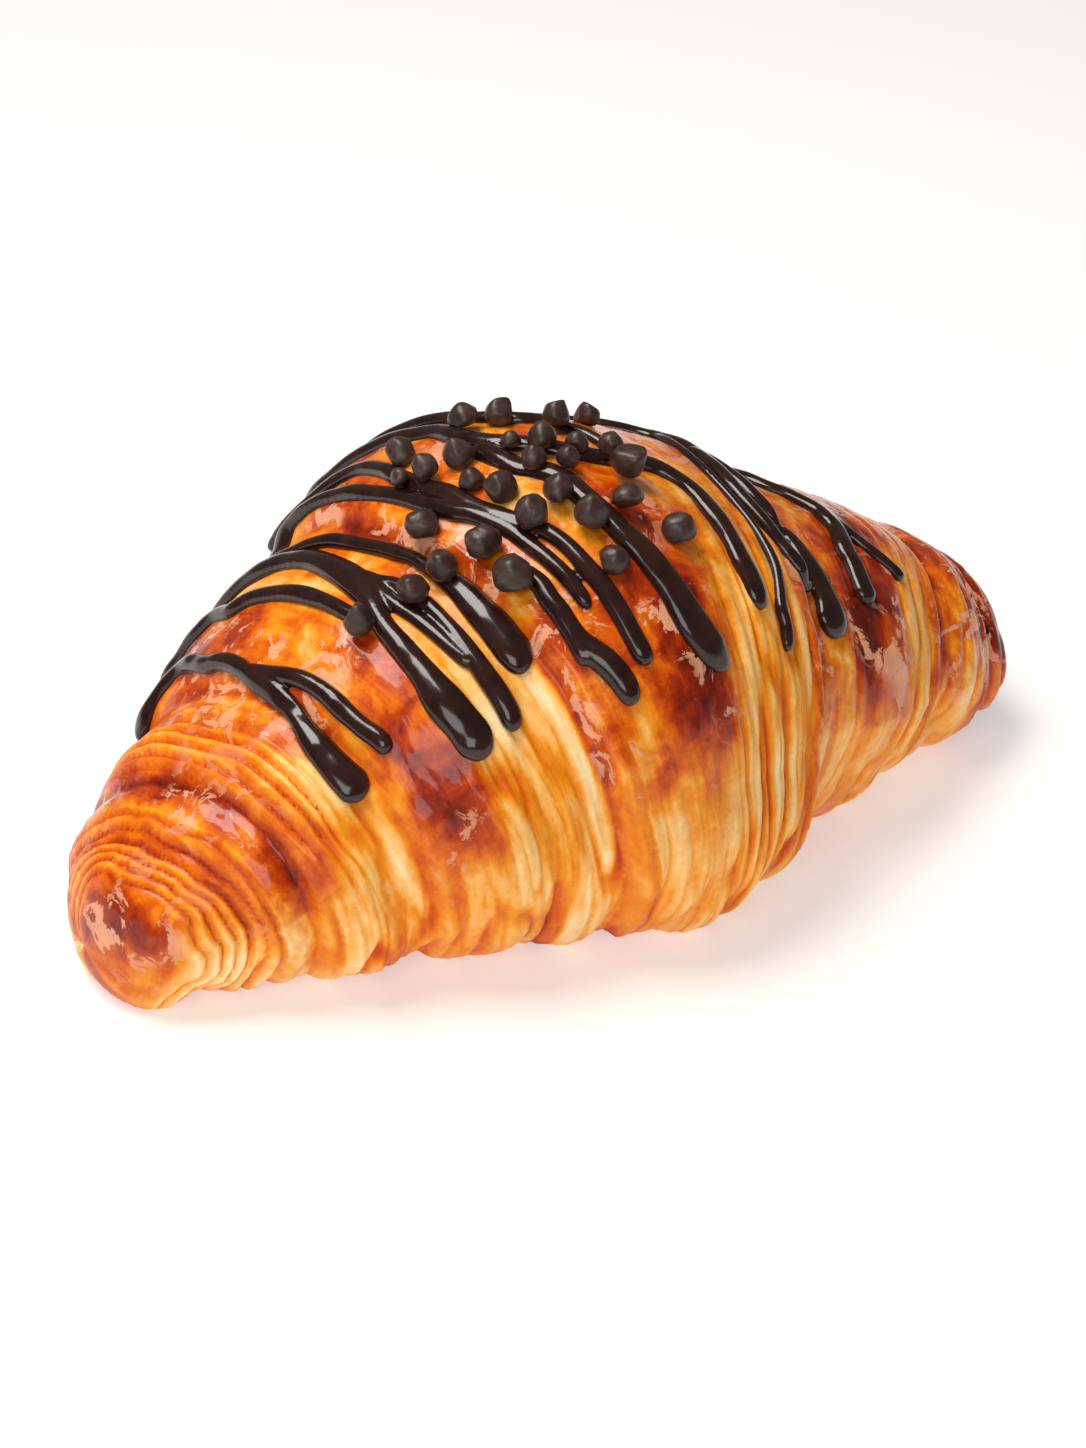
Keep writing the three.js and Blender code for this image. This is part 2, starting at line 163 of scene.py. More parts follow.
def band(value, low, high, lowSoft=1.5, highSoft=None):
    highSoft = highSoft or lowSoft
    rising = smoothStep(value, low - lowSoft, low + lowSoft)
    return rising * (1 - smoothStep(value, high - highSoft, high + highSoft))


def wrapFields(x, angle):
    d = dough
    run = edgeRun(angle) * d["wrapPitch"] * (1 - smoothStep(np.abs(x), 60, 84))
    wobble = d["edgeWobble"] * cloud(roundCoords(x, angle, 14, 2.5), 5, 3)
    left = d["leftEdge"] - x - run + wobble            # mm outward from the middle wrap's left edge
    right = x - d["rightEdge"] - run + wobble          # and from its right edge
    front = -ringRadius(x) * np.cos(np.radians(angle))
    left = left + 0.42 * front * smoothStep(-x, 52, 78)     # the left eye faces forward
    lean = np.tanh((x - 4) / 12)
    return left, right, x - run * lean                 # the last is constant along a wrap


def wrapSwell(left, right):  # step profile: 0.45 at an edge, -1 just outside it
    swell = 0.45 + dough["middleSwell"] * smoothStep(-np.maximum(left, right), 0, 14)
    for side, edges in ((left, dough["leftEdges"]), (right, dough["rightEdges"])):
        for start, end in zip(edges, edges[1:]):
            across = (side - start) / (end - start)
            step = 0.45 - 1.45 * smoothStep(side - start, 0, dough["stepWidth"])
            step += 1.9 * smoothStep(across, 0.07, 0.75) - 0.45 * smoothStep(across, 0.75, 1)
            swell = np.where((side >= start) & (side < end), step, swell)
    return swell


def creaseLines(across, angle, spacing, long, width, seed):  # thin creases that run with the wraps
    return np.exp(-(noise(roundCoords(across, angle, spacing, long), seed) / width) ** 2)


def coarseRelief(x, angle, left, right):
    d = dough
    sine = np.sin(np.radians(angle))
    upper = smoothStep(sine, -0.5, 0.3)
    lower = (1 - upper) * smoothStep(sine, -0.96, -0.56)
    scale = (ringRadius(x) / d["middleRadius"]) ** 0.7
    relief = (d["stepHeight"] * upper + d["footStep"] * lower) * wrapSwell(left, right) * scale
    return relief + 0.5 * noise(roundCoords(x, angle, 15, 2.2), 3) - 0.35


def crustFields(x, angle):  # relief in mm, and what the crust's colour and gloss read
    left, right, streak = wrapFields(x, angle)
    side = np.maximum(left, right)
    radius = ringRadius(x)
    relief = coarseRelief(x, angle, left, right)
    turn = np.radians(angle)
    place = np.stack([x, radius * np.cos(turn), radius * np.sin(turn)], -1)

    fibres = cloud(roundCoords(streak, angle, 0.95, 4.8), 17, 3)
    cordNoise = noise(roundCoords(streak, angle, 2.6, 1.3), 19)
    ragged = 2.6 * noise(roundCoords(streak, angle, 5, 1.2), 31) + 2.4 * fibres
    paleLeft = band(left + ragged, 1.5, 17.5, 1.2, 3.5) + 0.95 * band(left + ragged, 28.5, 41, 1.5, 4)
    paleRight = band(right + ragged, -19, -1.5, 5, 1.0) + 0.85 * band(right + ragged, 24.5, 36, 2, 1.2)
    paleRight = paleRight + 0.35 * band(right + ragged, 36, 41, 1, 3)
    upperFade = np.clip(smoothStep(angle, 96, 150) + smoothStep(-angle, -80, -25), 0, 1)
    pale = np.clip(paleLeft + paleRight, 0, 1) * (0.16 + 0.84 * upperFade)
    footFade = np.clip(smoothStep(angle, 158, 196) + smoothStep(-angle, -12, 25), 0, 1)

    leftFoot = footFade * band(x + ragged, -60, -4, 4)       # the left foot is all layers
    pale = np.clip(pale + 0.55 * leftFoot, 0, 1)

    # torn layers where the dough stretched: cords, creases between them, and fibres
    creases = creaseLines(streak + 0.9 * cordNoise, angle, 3.4, 1.45, 0.2, 43) * pale
    finer = creaseLines(streak + 0.4 * cordNoise, angle, 1.7, 2.5, 0.2, 47) * (0.25 + 0.75 * pale)
    relief = relief - 0.75 * creases - 0.28 * finer + (0.05 + 0.24 * pale) * fibres + 0.4 * pale * cordNoise

    # layer edges on the left shoulder and round both tips
    ridgeAt = left + 1.3 * noise(roundCoords(left, angle, 6, 1.6), 11)
    shoulder = band(ridgeAt, 37, 47, 2.5, 1.2) * (0.25 + 0.75 * band(angle, 40, 150, 12))
    tipRings = band(ridgeAt, 55, 65.5, 1.0, 1.5)
    rightRings = smoothStep(right, 40, 48) * 0.7
    rings = np.abs(np.sin(math.pi * ridgeAt / 2.75)) ** 0.6 - 0.65
    fineRings = np.abs(np.sin(math.pi * ridgeAt / 1.75)) ** 0.6 - 0.65
    rightAt = right + 1.2 * noise(roundCoords(right, angle, 6, 1.6), 13)
    rightFolds = np.abs(np.sin(math.pi * rightAt / 3.1)) ** 0.6 - 0.65
    relief = relief + 1.6 * shoulder * rings + 0.75 * tipRings * fineRings + 0.6 * rightRings * rightFolds
    # painted shade in the grooves between layer edges, and painted highlight on their crests
    grooveShade = shoulder * smoothStep(-rings, 0.0, 0.5) + tipRings * smoothStep(-fineRings, 0.0, 0.5)
    grooveShade = grooveShade + 0.7 * rightRings * smoothStep(-rightFolds, 0.0, 0.5)
    crestHighlight = shoulder * smoothStep(rings, 0.2, 0.33) + tipRings * smoothStep(fineRings, 0.2, 0.33)

    # baked and blistered parts
    glaze = (1 - pale) * (1 - 0.75 * footFade) * (1 - 0.6 * np.clip(shoulder + tipRings, 0, 1))
    dents = cloud(place / 9, 23, 2)
    blisters = cloud(place / [2.4, 3.4, 3.4], 27, 3)
    relief = relief + (1 - pale) * (0.45 * dents + 0.2 * blisters)
    wrinkles = creaseLines(streak, angle, 3.0, 1.4, 0.16, 53) * (1 - pale) * smoothStep(right, -6, 6)
    relief = relief - 0.3 * wrinkles

    # pleats pinched in along the foot
    foot = smoothStep(angle, 188, 212) + smoothStep(-angle, 8, 32)
    pleats = creaseLines(x, angle, 6.2, 0.5, 0.26, 29)
    relief = relief + foot * (0.35 - 1.9 * pleats)

    outward = side * (side > -2)
    for start in dough["leftEdges"][1:] + dough["rightEdges"][1:]:
        own = left if start in dough["leftEdges"] else right
        outward = np.where((own > start - 2) & (own < start + 12) & (own == side), own - start, outward)
    outward = np.where(side > -2, outward, -9)
    under = np.exp(-((outward - 1.9) / 1.0) ** 2)      # shadowed line at the foot of each step
    lip = np.exp(-((outward + 1.0) / 1.3) ** 2)        # glossy rim along each edge

    patches = np.tanh(2.6 * cloud(place / [7, 10, 10], 37, 3))
    speckles = cloud(place / 2.2, 39, 2)
    aroundFront = np.exp(-((angle - 156) / 20) ** 2) + np.exp(-((angle - 22) / 20) ** 2)
    darkBelt = band(left, 18, 27, 3) + band(right, -37, -23, 3, 4) + 0.9 * band(right, 11, 24, 4, 1.5)
    darkBelt = darkBelt + 0.9 * smoothStep(right, 46, 50) + 0.45 * band(left, 47, 53, 1.5, 2) * (angle < 178)
    darkBelt = darkBelt + 0.9 * smoothStep(left, 65.5, 68)
    bake = 0.385 + 0.19 * patches * glaze + 0.03 * speckles * (1 - pale)
    bake = bake + 0.3 * darkBelt * np.clip(aroundFront + 0.35 + (np.abs(x) > 60), 0, 1) * (1 - pale)
    bake = bake * (1 - 0.84 * pale) - 0.32 * footFade * (1 - pale) + 0.03 * footFade * pale
    bake = bake + (0.02 + 0.11 * pale) * fibres + 0.09 * pale * cordNoise
    # painted shade darkens the creases, finer creases, wrinkles, ring grooves and foot pleats, and painted
    # highlight lightens the ring crests
    bake = bake + 0.26 * creases + 0.12 * finer + 0.24 * grooveShade - 0.12 * crestHighlight + 0.16 * wrinkles
    bake = bake + 0.2 * under * (1 - 0.3 * pale) + 0.16 * foot * pleats
    bake = bake + (0.5 - bake) * 0.6 * lip * band(angle, 20, 215, 10)
    bake = bake + 0.2 * smoothStep(angle, 222, 240) + 0.2 * smoothStep(-angle, 42, 60)     # browned underside
    fields = {"bake": bake, "pale": pale, "glaze": glaze}
    return relief, {name: np.clip(value, 0, 1) for name, value in fields.items()}


def skinPoints(x, angle, relief):
    d = dough
    turn = np.radians(angle)
    sine, cosine = np.sin(turn), np.cos(turn)
    base = ringRadius(x)
    below = np.clip(-sine, 0, 1)
    radius = (base + relief) * tipScale(x) * (1 + 2 * d["footFullness"] * below * np.abs(cosine))
    middle = smoothStep(x, -30, -8) * (1 - smoothStep(x, 20, 34))
    low = below ** 0.7 * smoothStep(np.abs(cosine), 0, 0.4) * np.where(cosine < 0, -1, d["backShare"])
    tuck = np.where(x < 0, d["leftTuck"], d["rightTuck"]) * (1 - smoothStep(np.abs(x), 60, 80))
    across = radius * d["widthRatio"] * cosine + low * (d["middleLobe"] * middle - tuck * (1 - middle))
    seat = d["seatRatio"] + d["seatTips"] * (x / d["halfLength"]) ** 2
    return np.stack([x + 0 * across, across, np.maximum(seat * base + radius * sine, 0)], -1)


def coarseSkin(x, angle):
    x, angle = np.broadcast_arrays(np.asarray(x, float), np.asarray(angle, float))
    left, right, _ = wrapFields(x, angle)
    return skinPoints(x, angle, coarseRelief(x, angle, left, right))


def skinFrames(x, angle):  # point, skin directions per mm of x and per degree, and normal
    point = coarseSkin(x, angle)
    alongX = (coarseSkin(x + 1.5, angle) - coarseSkin(x - 1.5, angle)) / 3
    alongAngle = (coarseSkin(x, angle + 3) - coarseSkin(x, angle - 3)) / 6
    normal = np.cross(alongX, alongAngle)
    normal /= np.linalg.norm(normal, axis=-1, keepdims=True)
    turn = np.radians(angle)
    outward = np.stack([0 * turn, np.cos(turn), np.sin(turn)], -1)
    normal *= np.sign(np.sum(normal * outward, -1, keepdims=True))
    return point, alongX, alongAngle, normal


def wrappedGrid(columns, rows):  # a flat grid as a mesh, with its u, v in 0..1
    bm = bmesh.new()
    bmesh.ops.create_grid(bm, x_segments=columns, y_segments=rows, size=0.5)
    mesh = bpy.data.meshes.new("grid")
    bm.to_mesh(mesh)
    bm.free()
    flat = np.empty(len(mesh.vertices) * 3)
    mesh.vertices.foreach_get("co", flat)
    flat = flat.reshape(-1, 3) + 0.5
    return mesh, flat[:, 0], flat[:, 1]


def closeGrid(mesh, points, name):  # moves the grid to its points in mm and joins its seam and poles
    mesh.vertices.foreach_set("co", (points * mm).ravel())
    bm = bmesh.new()
    bm.from_mesh(mesh)
    bmesh.ops.remove_doubles(bm, verts=bm.verts, dist=1e-7)
    bmesh.ops.recalc_face_normals(bm, faces=bm.faces)
    closed = bpy.data.meshes.new(name)
    bm.to_mesh(closed)
    bm.free()
    return closed


def makePastry():
    d = dough
    columns = d["alongSteps"] + 2 * d["tipSteps"]
    rows = d["roundSteps"] + d["baseSteps"]
    mesh, u, v = wrappedGrid(columns, rows)
    quarter = np.linspace(0, math.pi / 2, d["tipSteps"] + 1)
    cap = d["tipRounding"] * (1 - np.cos(quarter))
    body = np.linspace(d["tipRounding"], 2 * d["halfLength"] - d["tipRounding"], d["alongSteps"] + 1)
    stations = np.concatenate([cap[:-1], body, 2 * d["halfLength"] - cap[::-1][1:]]) - d["halfLength"]
    baseHalf = d["baseHalf"]                          # half angle of the flat underside
    angles = np.concatenate([
        np.linspace(-90, -90 + baseHalf, d["baseSteps"] // 2 + 1)[:-1],
        np.linspace(-90 + baseHalf, 270 - baseHalf, d["roundSteps"] + 1),
        np.linspace(270 - baseHalf, 270, d["baseSteps"] // 2 + 1)[1:],
    ])
    column, row = np.rint(u * columns).astype(int), np.rint(v * rows).astype(int)
    x, angle = stations[column], angles[row]
    relief, fields = crustFields(x, angle)
    points = skinPoints(x, angle, relief)
    firstRow = np.empty((columns + 1, 3))
    firstRow[column[row == 0]] = points[row == 0]
    points[row == rows] = firstRow[column[row == rows]]      # both sides of the seam below are one row
    for name, values in fields.items():
        layer = mesh.attributes.new(name, "FLOAT", "POINT")
        layer.data.foreach_set("value", values.astype(np.float32))
    streak = wrapFields(x, angle)[2]
    uvLayer = mesh.uv_layers.new(name="wraps")
    corners = np.empty(len(mesh.loops), dtype=np.int64)
    mesh.loops.foreach_get("vertex_index", corners)
    around = ringRadius(x) * np.radians(angle)
    uv = np.stack([streak, around], -1)[corners] * mm * d["uvPerMetre"]
    uvLayer.data.foreach_set("uv", uv.astype(np.float32).ravel())
    return closeGrid(mesh, points, "pastry_crust")


# set chocolate: strands along routes of (x, angle), from the back over the top to the front

chocolateRun = {
    "height": 1.55, "sink": 0.8, "spacing": 0.5, "sides": 20, "unevenness": 0.10,
    "voxel": 0.3, "smoothing": 5, "mmPerDegree": 0.7, "dripLength": 30,
    "widening": 1.12, "startRound": 0.6, "endRound": 0.85, "usualWidth": 3.4,
}

drizzleRoutes = {  # each strand: width, width of its end, points of (x, angle)
    "drizzle_01": [
        (3, 5.2, [(-64, 24), (-62, 33), (-59, 42), (-57, 50), (-57, 64), (-56, 75), (-55.6, 84), (-55.5, 92),
            (-55, 103), (-54.6, 111), (-54.7, 122), (-54, 132), (-53.3, 138), (-52.3, 144), (-52, 147.5)]),
        (2.7, 3, [(-55.8, 86), (-54.6, 92), (-53, 101), (-51.8, 107), (-50.8, 114), (-50, 122), (-49, 129),
            (-47.8, 134.5), (-47.3, 139)]),
    ],
    "drizzle_02": [
        (3.6, 6.2, [(-48, 16), (-46.5, 28), (-44, 40), (-42, 50), (-40, 60), (-38.8, 70), (-38.2, 81),
            (-38.4, 93), (-38.6, 100.5), (-39.4, 106), (-39.8, 112), (-39.5, 120), (-39, 127), (-38.6, 133),
            (-37.8, 138.5), (-36.9, 144), (-36.4, 148.5), (-36.4, 152)]),
        (2.2, 2.2, [(-37.5, 72), (-36.9, 81), (-36.6, 90), (-36.6, 100), (-36.5, 106), (-35.5, 112),
            (-34.6, 118), (-33.9, 123), (-33.2, 127), (-32.2, 131)]),
        (2.4, 3.7, [(-36.6, 92), (-35.8, 97.5), (-34.3, 102), (-33.5, 107), (-32.6, 113.5), (-32.2, 119.5),
            (-31.9, 125), (-31.6, 130), (-31.3, 134.5), (-30.8, 140), (-30.5, 144.5), (-30.4, 149.5)]),
        (2.4, 5.6, [(-43, 43), (-40.6, 49), (-38, 56), (-35.4, 66), (-33.7, 73), (-32.6, 80.5), (-31.3, 87),
            (-30.2, 93), (-29.3, 98), (-29, 101.5), (-28, 109.5), (-27.6, 114), (-27.2, 120), (-26.7, 125),
            (-26.3, 130), (-26, 134), (-26.3, 138.5)]),
        (2.8, 2.8, [(-56, 20), (-54, 30), (-51.5, 41), (-49.6, 50), (-49.3, 60.5), (-47.4, 66.5), (-46, 73),
            (-45, 78.5), (-44, 85), (-43.3, 91), (-42.8, 96), (-42, 102), (-40.2, 107)]),
    ],
    "drizzle_03": [
        (3, 2.4, [(-35, 26), (-33, 38), (-30.4, 46), (-28.6, 57), (-27.4, 65.5), (-26.3, 74), (-25, 81.5),
            (-24.2, 86.5), (-23.3, 92), (-22, 97.5), (-20.6, 101), (-19.4, 105), (-18.2, 109.5),
            (-17.4, 114.5), (-16.4, 119.5), (-15.5, 125), (-14.8, 132.5)]),
        (2.7, 3.1, [(-31, 30), (-28, 42), (-25, 52), (-22.3, 61), (-22, 71), (-22.3, 77), (-22, 82),
            (-21.2, 87.5), (-20.5, 92.5), (-19.9, 98.5), (-18.8, 103), (-16.5, 109), (-14.3, 114), (-13, 119),
            (-12.2, 125), (-11.6, 129), (-11.3, 133), (-11, 137), (-10.8, 141.5), (-10.3, 147.5)]),
    ],
    "drizzle_04": [
        (2.6, 4.1, [(-20.5, 118), (-19.3, 123), (-19.2, 127), (-18.8, 130.5), (-18.6, 134), (-18.2, 137.5),
            (-17.2, 140.5), (-16, 143.7), (-15.1, 146.8), (-14.5, 150), (-14.3, 154)]),
        (3.2, 3.2, [(-19, 129), (-18.7, 134), (-18.5, 139), (-18.5, 143)]),
    ],
    "drizzle_05": [
        (3.2, 4, [(-22, 30), (-19, 45), (-15.5, 58), (-13.5, 66), (-11.7, 72), (-11.5, 79.5), (-10.5, 84.5),
            (-8.5, 88.5), (-6, 91.5), (-3, 95), (0.3, 98.3), (3.5, 100.5), (7.5, 101), (11.4, 101.7),
            (13.7, 104), (15.5, 108.3), (16.3, 112.5), (16.2, 117.5), (16.2, 121.7), (16.1, 126),
            (15.6, 130.5), (15.5, 136), (15, 142)]),
        (3.5, 6, [(-12.5, 86), (-11.5, 92), (-10.5, 97), (-8.3, 100.5), (-6.5, 105), (-5.8, 111), (-4.8, 117),
            (-3.9, 122), (-2.7, 126), (-1.8, 131), (-1.2, 134.5), (-0.7, 139), (0, 143), (1.3, 147.3),
            (2.2, 151), (2.2, 153.5)]),
        (2.5, 2.5, [(-14, 36), (-10.5, 52), (-7, 66), (-4.5, 74), (-1, 79), (3, 82), (5.5, 87), (7, 93),
            (8.2, 100)]),
    ],
    "drizzle_06": [
        (2.8, 5.5, [(30, 18), (29, 36), (28.5, 60), (29, 80), (30, 93), (31.3, 102), (32, 111), (34, 119),
            (34.5, 123.5), (34.5, 130), (34.6, 136.3), (34.3, 143.4), (33, 151)]),
        (2.6, 2.6, [(29, 86), (28, 100), (27.5, 108), (28, 116), (28.7, 124), (30, 131), (31.5, 137)]),
        (2.6, 2.6, [(2, 36), (7, 48), (14, 57), (22, 64), (28, 72), (29.5, 82)]),
        (1.3, 2.3, [(29, 68), (27, 80), (25, 93), (24.5, 103), (24.5, 111), (24.5, 119.5), (24.3, 124),
            (24, 128), (23.3, 132), (21.5, 137.5), (20, 142), (19.6, 147), (18.3, 152)]),
    ],
    "drizzle_07": [
        (2.8, 3.9, [(45, 20), (43, 35), (42, 50), (42, 70), (43, 85), (46, 94), (48, 102.5), (48, 108.5),
            (47.8, 114), (46, 122), (45.7, 128), (45, 134.5), (44, 141.5)]),
        (2, 2, [(46, 88), (47, 98), (49, 105), (49.5, 111.5), (50.7, 117), (52.5, 122.5), (54.3, 127),
            (55.4, 130), (55.8, 133)]),
    ],
}


def smoothRoute(route):  # close points along a curve through the route, as x and angle length
    p = np.array(route, float) * [1, chocolateRun["mmPerDegree"]]
    p = np.vstack([2 * p[0] - p[1], p, 2 * p[-1] - p[-2]])
    dense = []
    for a, b, c, d in zip(p[:-3], p[1:-2], p[2:-1], p[3:]):
        t = np.linspace(0, 1, 24, endpoint=False)[:, None]
        dense.append(0.5 * (2 * b + (c - a) * t + (2 * a - 5 * b + 4 * c - d) * t ** 2
                            + (3 * b - a - 3 * c + d) * t ** 3))
    dense = np.vstack(dense + [p[-2:-1]])
    walked = np.concatenate([[0], np.cumsum(np.linalg.norm(np.diff(dense, axis=0), axis=1))])
    return dense, walked, walked[-1]


def makeStrand(strandWidth, endWidth, route, seed):
    c = chocolateRun
    dense, walked, length = smoothRoute(route)
    steps = int(length / c["spacing"])
    mesh, u, v = wrappedGrid(steps, c["sides"])
    roundSpan = np.array([c["startRound"] * strandWidth, c["endRound"] * endWidth])
    even = np.linspace(0, 1, steps + 1)
    eased = 0.5 - 0.5 * np.cos(math.pi * even)          # closer rings at the rounded ends
    along = (length * (0.8 * even + 0.2 * eased))[np.rint(u * steps).astype(int)]
    x = np.interp(along, walked, dense[:, 0])
    y = np.interp(along, walked, dense[:, 1])
    swell = smoothStep(along, length - c["dripLength"], length - 0.4 * endWidth)
    width = c["widening"] * strandWidth + (endWidth - strandWidth) * swell
    ahead, behind = np.minimum(along + 0.4, length), np.maximum(along - 0.4, 0)
    aheadX = np.interp(ahead, walked, dense[:, 0]) - np.interp(behind, walked, dense[:, 0])
    aheadY = np.interp(ahead, walked, dense[:, 1]) - np.interp(behind, walked, dense[:, 1])
    angle = y / c["mmPerDegree"]
    _, alongX, alongAngle, normal = skinFrames(x, angle)
    forward = alongX * aheadX[:, None] + alongAngle * (aheadY / c["mmPerDegree"])[:, None]
    side = np.cross(normal, forward)
    side /= np.linalg.norm(side, axis=-1, keepdims=True)
    sideX = np.sum(side * alongX, -1) / np.sum(alongX ** 2, -1)
    sideAngle = np.sum(side * alongAngle, -1) / np.sum(alongAngle ** 2, -1)
    width = width * (1 + c["unevenness"] * noise(np.stack([along / 6, 0 * along, 0 * along], -1), seed))
    nearStart = np.clip(1 - along / roundSpan[0], 0, 1)
    nearEnd = np.clip(1 - (length - along) / roundSpan[1], 0, 1)
    roundEnd = np.sqrt(np.clip(1 - np.maximum(nearStart, nearEnd) ** 2, 0, 1))
    turn = 2 * math.pi * v
    out = width / 2 * roundEnd * np.cos(turn)
    rise = np.sin(turn)
    lumps = 1 + 0.12 * noise(np.stack([along / 4.5, 3 + 0 * along, 0 * along], -1), seed + 40)
    height = c["height"] * (width / c["usualWidth"]) ** 0.55 * lumps * roundEnd ** 0.8
    up = np.where(rise > 0, height * np.abs(rise) ** 0.8, c["sink"] * rise)
    under = coarseSkin(x + sideX * out, angle + sideAngle * out)
    return closeGrid(mesh, under + normal * up[:, None], "strand")


def makeDrizzle(name, strands, material):
    c = chocolateRun
    bm = bmesh.new()
    for index, (strandWidth, endWidth, route) in enumerate(strands):
        strand = makeStrand(strandWidth, endWidth, route, seed=100 + 7 * index + int(name[-2:]))
        bm.from_mesh(strand)
    mesh = bpy.data.meshes.new(name)
    bm.to_mesh(mesh)
    bm.free()
    rough = bpy.data.objects.new("rough_" + name, mesh)
    bpy.context.scene.collection.objects.link(rough)
    remesh = rough.modifiers.new("joined", "REMESH")      # runs strands together where they touch
    remesh.mode, remesh.voxel_size = "VOXEL", c["voxel"] * mm
    smooth = rough.modifiers.new("settled", "SMOOTH")
    smooth.factor, smooth.iterations = 0.5, c["smoothing"]
    evaluated = rough.evaluated_get(bpy.context.evaluated_depsgraph_get())
    joined = bpy.data.meshes.new_from_object(evaluated)
    bpy.data.objects.remove(rough)
    return addPiece("chocolate_" + name, joined, material, [name])


# chocolate drops: place (x, angle), width, tallness, what it stands on

dropForm = {
    "outline": [(0, 0), (0.5, -0.02), (0.78, 0.02), (0.93, 0.14), (1.0, 0.36), (0.98, 0.62), (0.9, 0.88),
                (0.76, 1.12), (0.56, 1.34), (0.36, 1.5), (0.17, 1.61), (0, 1.65)],
    "sides": 28, "lumps": 0.075, "flats": 5, "flatAt": 0.8, "onBare": 0.1, "onStrand": 1.3,
}

dropPlaces = [
    (-42.3, 107.5, 4.8, 1.2, "onStrand"), (-33.4, 108.2, 5.1, 1, "onStrand"),
    (-26.9, 107.3, 5.5, 1, "onStrand"), (-26, 96, 5.2, 1, "onBare"), (-22.5, 110, 5.9, 1, "onStrand"),
    (-23, 81.3, 3.4, 0.95, "onStrand"), (-21.9, 120, 6.6, 0.9, "onStrand"), (-20.1, 85.4, 4.6, 1, "onStrand"),
    (-19, 73.7, 5.2, 1, "onBare"), (-17.4, 95, 4.4, 0.9, "onBare"), (-15.4, 87.8, 5.1, 1.05, "onBare"),
    (-15.3, 101, 5.7, 0.95, "onBare"), (-14.9, 111, 5.6, 1.05, "onStrand"), (-9.1, 77.2, 5.4, 0.8, "onStrand"),
    (-9.7, 109.4, 5.2, 0.95, "onStrand"), (-8.5, 126, 5.1, 0.85, "onBare"), (-8.6, 91.8, 3.4, 0.9, "onStrand"),
    (-9, 99.4, 4.3, 1, "onStrand"), (-8, 116.4, 5.5, 1, "onStrand"), (-4.4, 102.4, 4, 1.05, "onStrand"),
    (-4.9, 95, 5, 0.95, "onStrand"), (-3.9, 79, 4.9, 1.2, "onBare"), (-0.6, 98.4, 3.9, 0.95, "onStrand"),
    (-1.7, 116.5, 5.3, 0.8, "onStrand"), (3.3, 106.8, 5.7, 1.3, "onStrand"), (2, 87, 4.7, 1.2, "onStrand"),
    (4.8, 123, 5.7, 0.9, "onBare"), (4.6, 100.2, 4.4, 0.95, "onStrand"), (12.5, 79, 4.3, 1.25, "onBare"),
    (-12, 20, 5, 1, "onBare"), (0, 33, 5.2, 1, "onBare"), (10, 21, 4.8, 1.1, "onBare"),
    (22, 34, 5, 1, "onBare"),
]
dropLeans = {14: (-18, 0), 23: (-60, 15)}  # drops that fell over, in degrees about X and Y


def makeDrop(index, material):
    x, angle, width, tallness, seat = dropPlaces[index]
    f = dropForm
    radius = width / 2
    bm = bmesh.new()
    profile = [bm.verts.new((out * radius * mm, 0, up * tallness * radius * mm)) for out, up in f["outline"]]
    for a, b in zip(profile, profile[1:]):
        bm.edges.new((a, b))
    bmesh.ops.spin(bm, geom=bm.verts[:] + bm.edges[:], cent=(0, 0, 0), axis=(0, 0, 1),
                   angle=2 * math.pi, steps=f["sides"], use_merge=True)
    bmesh.ops.remove_doubles(bm, verts=bm.verts, dist=1e-6)
    bmesh.ops.recalc_face_normals(bm, faces=bm.faces)
    bm.verts.ensure_lookup_table()
    places = np.array([v.co[:] for v in bm.verts]) / mm
    seed = 300 + index
    lumps = cloud(places / (radius * 0.9), seed, 3) * f["lumps"] * width
    tipLean = 0.10 * width * noise(np.array([[seed * 0.7, 0.5, 0], [seed * 0.7, 0, 0.5]]), 9)
    rng = np.random.default_rng(seed)
    spinTurn = rng.uniform(0, 2 * math.pi)
    centre = np.array([0, 0, 0.6 * radius])
    away = places - centre
    away /= np.linalg.norm(away, axis=1, keepdims=True)
    places = places + away * lumps[:, None]
    for facing in rng.normal(size=(f["flats"], 3)):      # flat sides, where drops lay against each other
        facing /= np.linalg.norm(facing)
        beyond = (places - centre) @ facing - f["flatAt"] * radius
        places = places - 0.85 * np.clip(beyond, 0, None)[:, None] * facing
    places[:, :2] += tipLean * (np.clip(places[:, 2:] / (1.6 * radius), 0, 1) ** 2) * 2
    point, _, _, normal = skinFrames(np.array([float(x)]), np.array([float(angle)]))
    upright = Vector((0, 0, 1)).rotation_difference(Vector(normal[0]))
    lean = dropLeans.get(index, (0, 0))
    leaning = Euler((math.radians(lean[0]), math.radians(lean[1]), 0)).to_quaternion()
    rise = 2.0 if index in dropLeans and lean[0] < -30 else f[seat]
    turn = (leaning @ upright @ Quaternion((0, 0, 1), spinTurn)).to_matrix()
    places = places @ np.array(turn).T + point[0] + normal[0] * rise
    for vert, place in zip(bm.verts, places):
        vert.co = place * mm
    name = f"chocolate_drop_{index + 1:02d}"
    mesh = bpy.data.meshes.new("topping_" + name)
    bm.to_mesh(mesh)
    bm.free()
    return addPiece("topping_" + name, mesh, material, [name])


